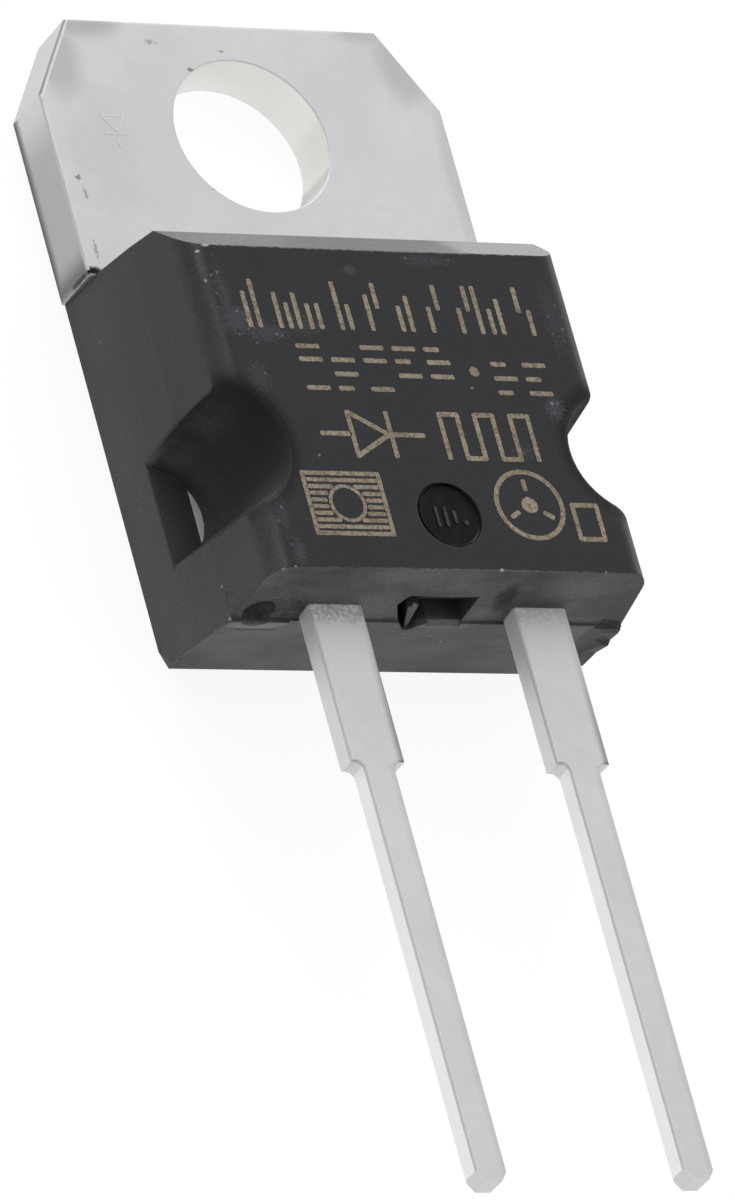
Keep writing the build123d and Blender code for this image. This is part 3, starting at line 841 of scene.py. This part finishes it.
def symbol_row():
    """Bottom row: a plain diode symbol on its line, then a train of square pulses."""
    rng = random.Random(37)
    shape = Shape()
    foot, head = -9.78, -8.72
    middle = (foot + head) / 2
    triangle = [(-1.85, head), (-1.85, foot), (-0.95, middle), (-1.85, head)]
    laser_stroke(shape, triangle, mark_height, rng)
    laser_stroke(shape, [(-2.6, middle), (-1.92, middle)], mark_height, rng)
    laser_stroke(shape, [(-0.9, foot), (-0.9, head)], mark_height + mark_lift * 0.4, rng)
    laser_stroke(shape, [(-0.82, middle), (-0.1, middle)], mark_height, rng)
    first_pulse, pulse_length = 0.42, 0.88
    pulses = [(first_pulse, foot)]
    for pulse in range(3):
        left = first_pulse + pulse * pulse_length
        fall, right = left + pulse_length / 2, left + pulse_length
        pulses += [(left, head), (fall, head), (fall, foot), (right, foot)]
    laser_stroke(shape, pulses[:-1], mark_height, rng)
    return shape.finish("laser_marks_symbol_row", laser_finish)


def hatched_plate():
    """Hatched rectangle round a bare window, in level strokes with gaps between them."""
    rng = random.Random(41)
    shape = Shape()
    left, right, foot, head = -3.38, -1.52, -11.66, -10.22
    corners = [(left, foot), (right, foot), (right, head), (left, head), (left, foot)]
    laser_stroke(shape, corners, mark_height, rng, 0.11)
    centre = Vector(((left + right) / 2, (foot + head) / 2))
    window = 0.46
    rows = 9
    for row in range(1, rows):
        y = foot + row * (head - foot) / rows
        spans = [(left + 0.1, right - 0.1)]
        if abs(y - centre.y) < window:
            half = (window ** 2 - (y - centre.y) ** 2) ** 0.5 + 0.06
            spans = [(left + 0.1, centre.x - half), (centre.x + half, right - 0.1)]
        for start, end in spans:
            laser_stroke(shape, [(start, y), (end, y)], mark_height, rng, 0.105)
    laser_ring(shape, centre, window - 0.05, mark_height + mark_lift * 0.6, rng, 0.09)
    return shape.finish("laser_marks_hatched_plate", laser_finish)


def ring_mark():
    """Ring with a dot and three short rays in it."""
    rng = random.Random(53)
    shape = Shape()
    centre = Vector((2.06, -10.88))
    laser_ring(shape, centre, 0.8, mark_height, rng)
    laser_dot(shape, centre, 0.2, mark_height, rng)
    for angle in (radians(90), radians(210), radians(330)):
        ray = Vector((cos(angle), sin(angle)))
        laser_stroke(shape, [centre + ray * 0.38, centre + ray * 0.58], mark_height, rng)
    return shape.finish("laser_marks_ring", laser_finish)


def square_mark():
    """Small open square at the right end."""
    rng = random.Random(59)
    shape = Shape()
    left, right, foot, head = 3.12, 3.72, -11.68, -10.86
    path = [(left, foot), (right, foot), (right, head), (left, head), (left, foot)]
    laser_stroke(shape, path, mark_height, rng)
    return shape.finish("laser_marks_square", laser_finish)


def round_outline(centre, radius, corners):
    """Flat points round a circle."""
    angles = (2 * pi * corner / corners for corner in range(corners))
    return [(centre[0] + radius * cos(angle), centre[1] + radius * sin(angle)) for angle in angles]


# Round ejector mark in the front face
dimple_centre = Vector((0.05, -11.15))
dimple_radius = 0.78
dimple_floor = front_height - 0.12


def dimple_dish():
    """Polished floor of the ejector mark, which curves up to its rim."""
    shape = Shape()
    corners = 48
    flat_radius, bend, flattened = dimple_radius - 0.14, 0.11, 0.8
    rings = [(flat_radius * 0.5, 0.0)]
    for step in range(7):
        turn = radians(15 * step)
        rings.append((flat_radius + bend * sin(turn), bend * (1 - cos(turn)) * flattened))
    rows = []
    for radius, rise in rings:
        outline = round_outline(dimple_centre, radius, corners)
        rows.append([(x, y, dimple_floor + mark_lift + rise) for x, y in outline])
    for inner, outer in zip(rows, rows[1:]):
        shape.strip(inner, outer, closed=True)
    start = len(shape.points)
    shape.points.extend(rows[0])
    shape.faces.append(tuple(range(start, start + corners)))
    dish = shape.finish("ejector_dish", polished_finish)
    dish.data.shade_smooth()
    return dish


def dimple_tally():
    """Raised tally in the round ejector mark: three rounded bars and a dot."""
    shape = Shape()
    centre = dimple_centre
    root, top = dimple_floor - 0.01, dimple_floor + 0.03
    half_width = 0.04
    for offset, half_length in ((-0.3, 0.2), (-0.08, 0.2), (0.14, 0.12)):
        outline = []
        for x, y in round_outline((0, 0), half_width, 16):
            stretch = half_length if y > 0 else -half_length
            outline.append((centre.x + offset + x, centre.y + y + stretch))
        shape.prism(outline, root, top)
    shape.prism(round_outline((centre.x + 0.38, centre.y - 0.14), 0.06, 16), root, top)
    return shape.finish("ejector_tally", moulded_mark_finish)


def tab_symbol():
    """Thin diode symbol scratched into the tab's front."""
    rng = random.Random(61)
    shape = Shape()
    height = tab_front + mark_lift
    left, right, foot, head = -3.66, -3.1, -0.4, 0.5
    middle, mid_x = (foot + head) / 2, (left + right) / 2
    triangle = [(left, head - 0.12), (right, head - 0.12), (mid_x, middle - 0.05), (left, head - 0.12)]
    bar = [(left, middle - 0.12), (right, middle - 0.12)]
    stem = [(mid_x, middle - 0.16), (mid_x, foot)]
    for path in (triangle, bar, stem):
        laser_stroke(shape, path, height, rng, 0.045)
    return shape.finish("tab_scribed_symbol", scribe_finish)


def tab_burr():
    """Thin bright burr along the left edge of the tab's front face, left by the punch."""
    rng = random.Random(67)
    shape = Shape()
    start, end = tab_end - tab_chamfer_side, tab_root
    steps = 90
    lowest, rise, highest_rise = 0.008, 0.02, 0.034
    outer, crest, inner = [], [], []
    for step in range(steps + 1):
        y = start + (end - start) * step / steps
        rise = min(highest_rise, max(lowest, rise + rng.uniform(-0.006, 0.006)))
        outer.append((-tab_half + 0.001, y, tab_front - 0.03))
        crest.append((-tab_half + 0.006, y, tab_front + rise))
        inner.append((-tab_half + 0.05 + rng.uniform(0, 0.015), y, tab_front - 0.002))
    shape.strip(outer, crest)
    shape.strip(crest, inner)
    return shape.finish("tab_edge_burr", scribe_finish)


for make_piece in (tally_row, dash_row, symbol_row, hatched_plate, ring_mark, square_mark,
                   dimple_dish, dimple_tally, tab_symbol, tab_burr):
    make_piece()


def set_camera():
    """Long lens from above the left bottom corner, turned so that the part stands almost upright."""
    aim = Vector((-1.33, -12.21, parting_plane)) * MM
    azimuth, elevation, roll = radians(-51.27), radians(47.76), radians(43.76)
    distance = 281.25 * MM
    away = Vector((sin(azimuth) * cos(elevation), -cos(azimuth) * cos(elevation), sin(elevation)))
    lens = bpy.data.cameras.new("camera")
    lens.sensor_fit = "VERTICAL"
    lens.sensor_height = 36.0
    lens.lens = 402.0
    lens.clip_start = 0.01
    lens.clip_end = 20.0
    camera = bpy.data.objects.new("camera", lens)
    bpy.context.scene.collection.objects.link(camera)
    level = (-away).to_track_quat("-Z", "Y").to_matrix()
    turned = level @ Matrix.Rotation(roll, 3, "Z")
    camera.matrix_world = Matrix.Translation(aim + away * distance) @ turned.to_4x4()
    bpy.context.scene.camera = camera


def floor_material():
    """Pale matt paper that reads as white, and keeps the part's soft shadow."""
    material = bpy.data.materials.new("pale_paper")
    material.use_nodes = True
    tree = material.node_tree
    tree.nodes.clear()
    rays = add(tree, "ShaderNodeLightPath").outputs
    paper = add(tree, "ShaderNodeBsdfDiffuse", {"Color": grey(0.8)}).outputs[0]
    lit_share = add(tree, "ShaderNodeBsdfDiffuse", {"Color": grey(0.22)}).outputs[0]
    glow = add(tree, "ShaderNodeEmission", {"Color": grey(1), "Strength": 0.88}).outputs[0]
    white = add(tree, "ShaderNodeAddShader", {0: lit_share, 1: glow}).outputs[0]
    mirror_glow = add(tree, "ShaderNodeEmission", {"Color": grey(1), "Strength": 0.78}).outputs[0]
    mirrored = add(tree, "ShaderNodeAddShader", {0: lit_share, 1: mirror_glow}).outputs[0]
    shown = add(tree, "ShaderNodeMixShader", {0: rays["Is Camera Ray"], 1: paper, 2: white}).outputs[0]
    both = add(tree, "ShaderNodeMixShader", {0: rays["Is Glossy Ray"], 1: shown, 2: mirrored}).outputs[0]
    add(tree, "ShaderNodeOutputMaterial", {"Surface": both})
    return material


def set_floor():
    """Wide sheet of paper that the part lies on."""
    half = 1.5
    mesh = bpy.data.meshes.new("floor")
    corners = [(-half, -half, 0), (half, -half, 0), (half, half, 0), (-half, half, 0)]
    mesh.from_pydata(corners, [], [(0, 1, 2, 3)])
    floor = bpy.data.objects.new("floor", mesh)
    bpy.context.scene.collection.objects.link(floor)
    mesh.materials.append(floor_material())


def set_world():
    """Studio that is light overhead and to the right, and dim on the left and the camera's side."""
    world = bpy.data.worlds.new("studio")
    bpy.context.scene.world = world
    world.use_nodes = True
    tree = world.node_tree
    tree.nodes.clear()
    direction = add(tree, "ShaderNodeTexCoord").outputs["Generated"]
    key = tuple(Vector((0.55, 0.5, 0.67)).normalized())
    facing_key = vector_math(tree, "DOT_PRODUCT", direction, key)["Value"]
    level = remap(tree, facing_key, -0.1, 0.85, 0.24, 0.8)
    seen = add(tree, "ShaderNodeLightPath").outputs["Is Camera Ray"]
    strength = blend(tree, seen, level, 1.0)
    light = add(tree, "ShaderNodeBackground", {"Color": grey(1), "Strength": strength}).outputs[0]
    add(tree, "ShaderNodeOutputWorld", {"Surface": light})


def add_softbox(name, position_mm, aim_mm, size_mm, power):
    """Square area lamp that faces a point of the part."""
    lamp = bpy.data.lights.new(name, "AREA")
    lamp.size = size_mm * MM
    lamp.energy = power
    holder = bpy.data.objects.new(name, lamp)
    bpy.context.scene.collection.objects.link(holder)
    holder.location = Vector(position_mm) * MM
    look = (Vector(aim_mm) - Vector(position_mm)).normalized()
    holder.rotation_euler = look.to_track_quat("-Z", "Y").to_euler()


set_camera()
set_floor()
set_world()
add_softbox("softbox_key", (0, 215, 120), (0, -8, 2), 120, 0.13)

bpy.context.scene.view_settings.view_transform = "Standard"
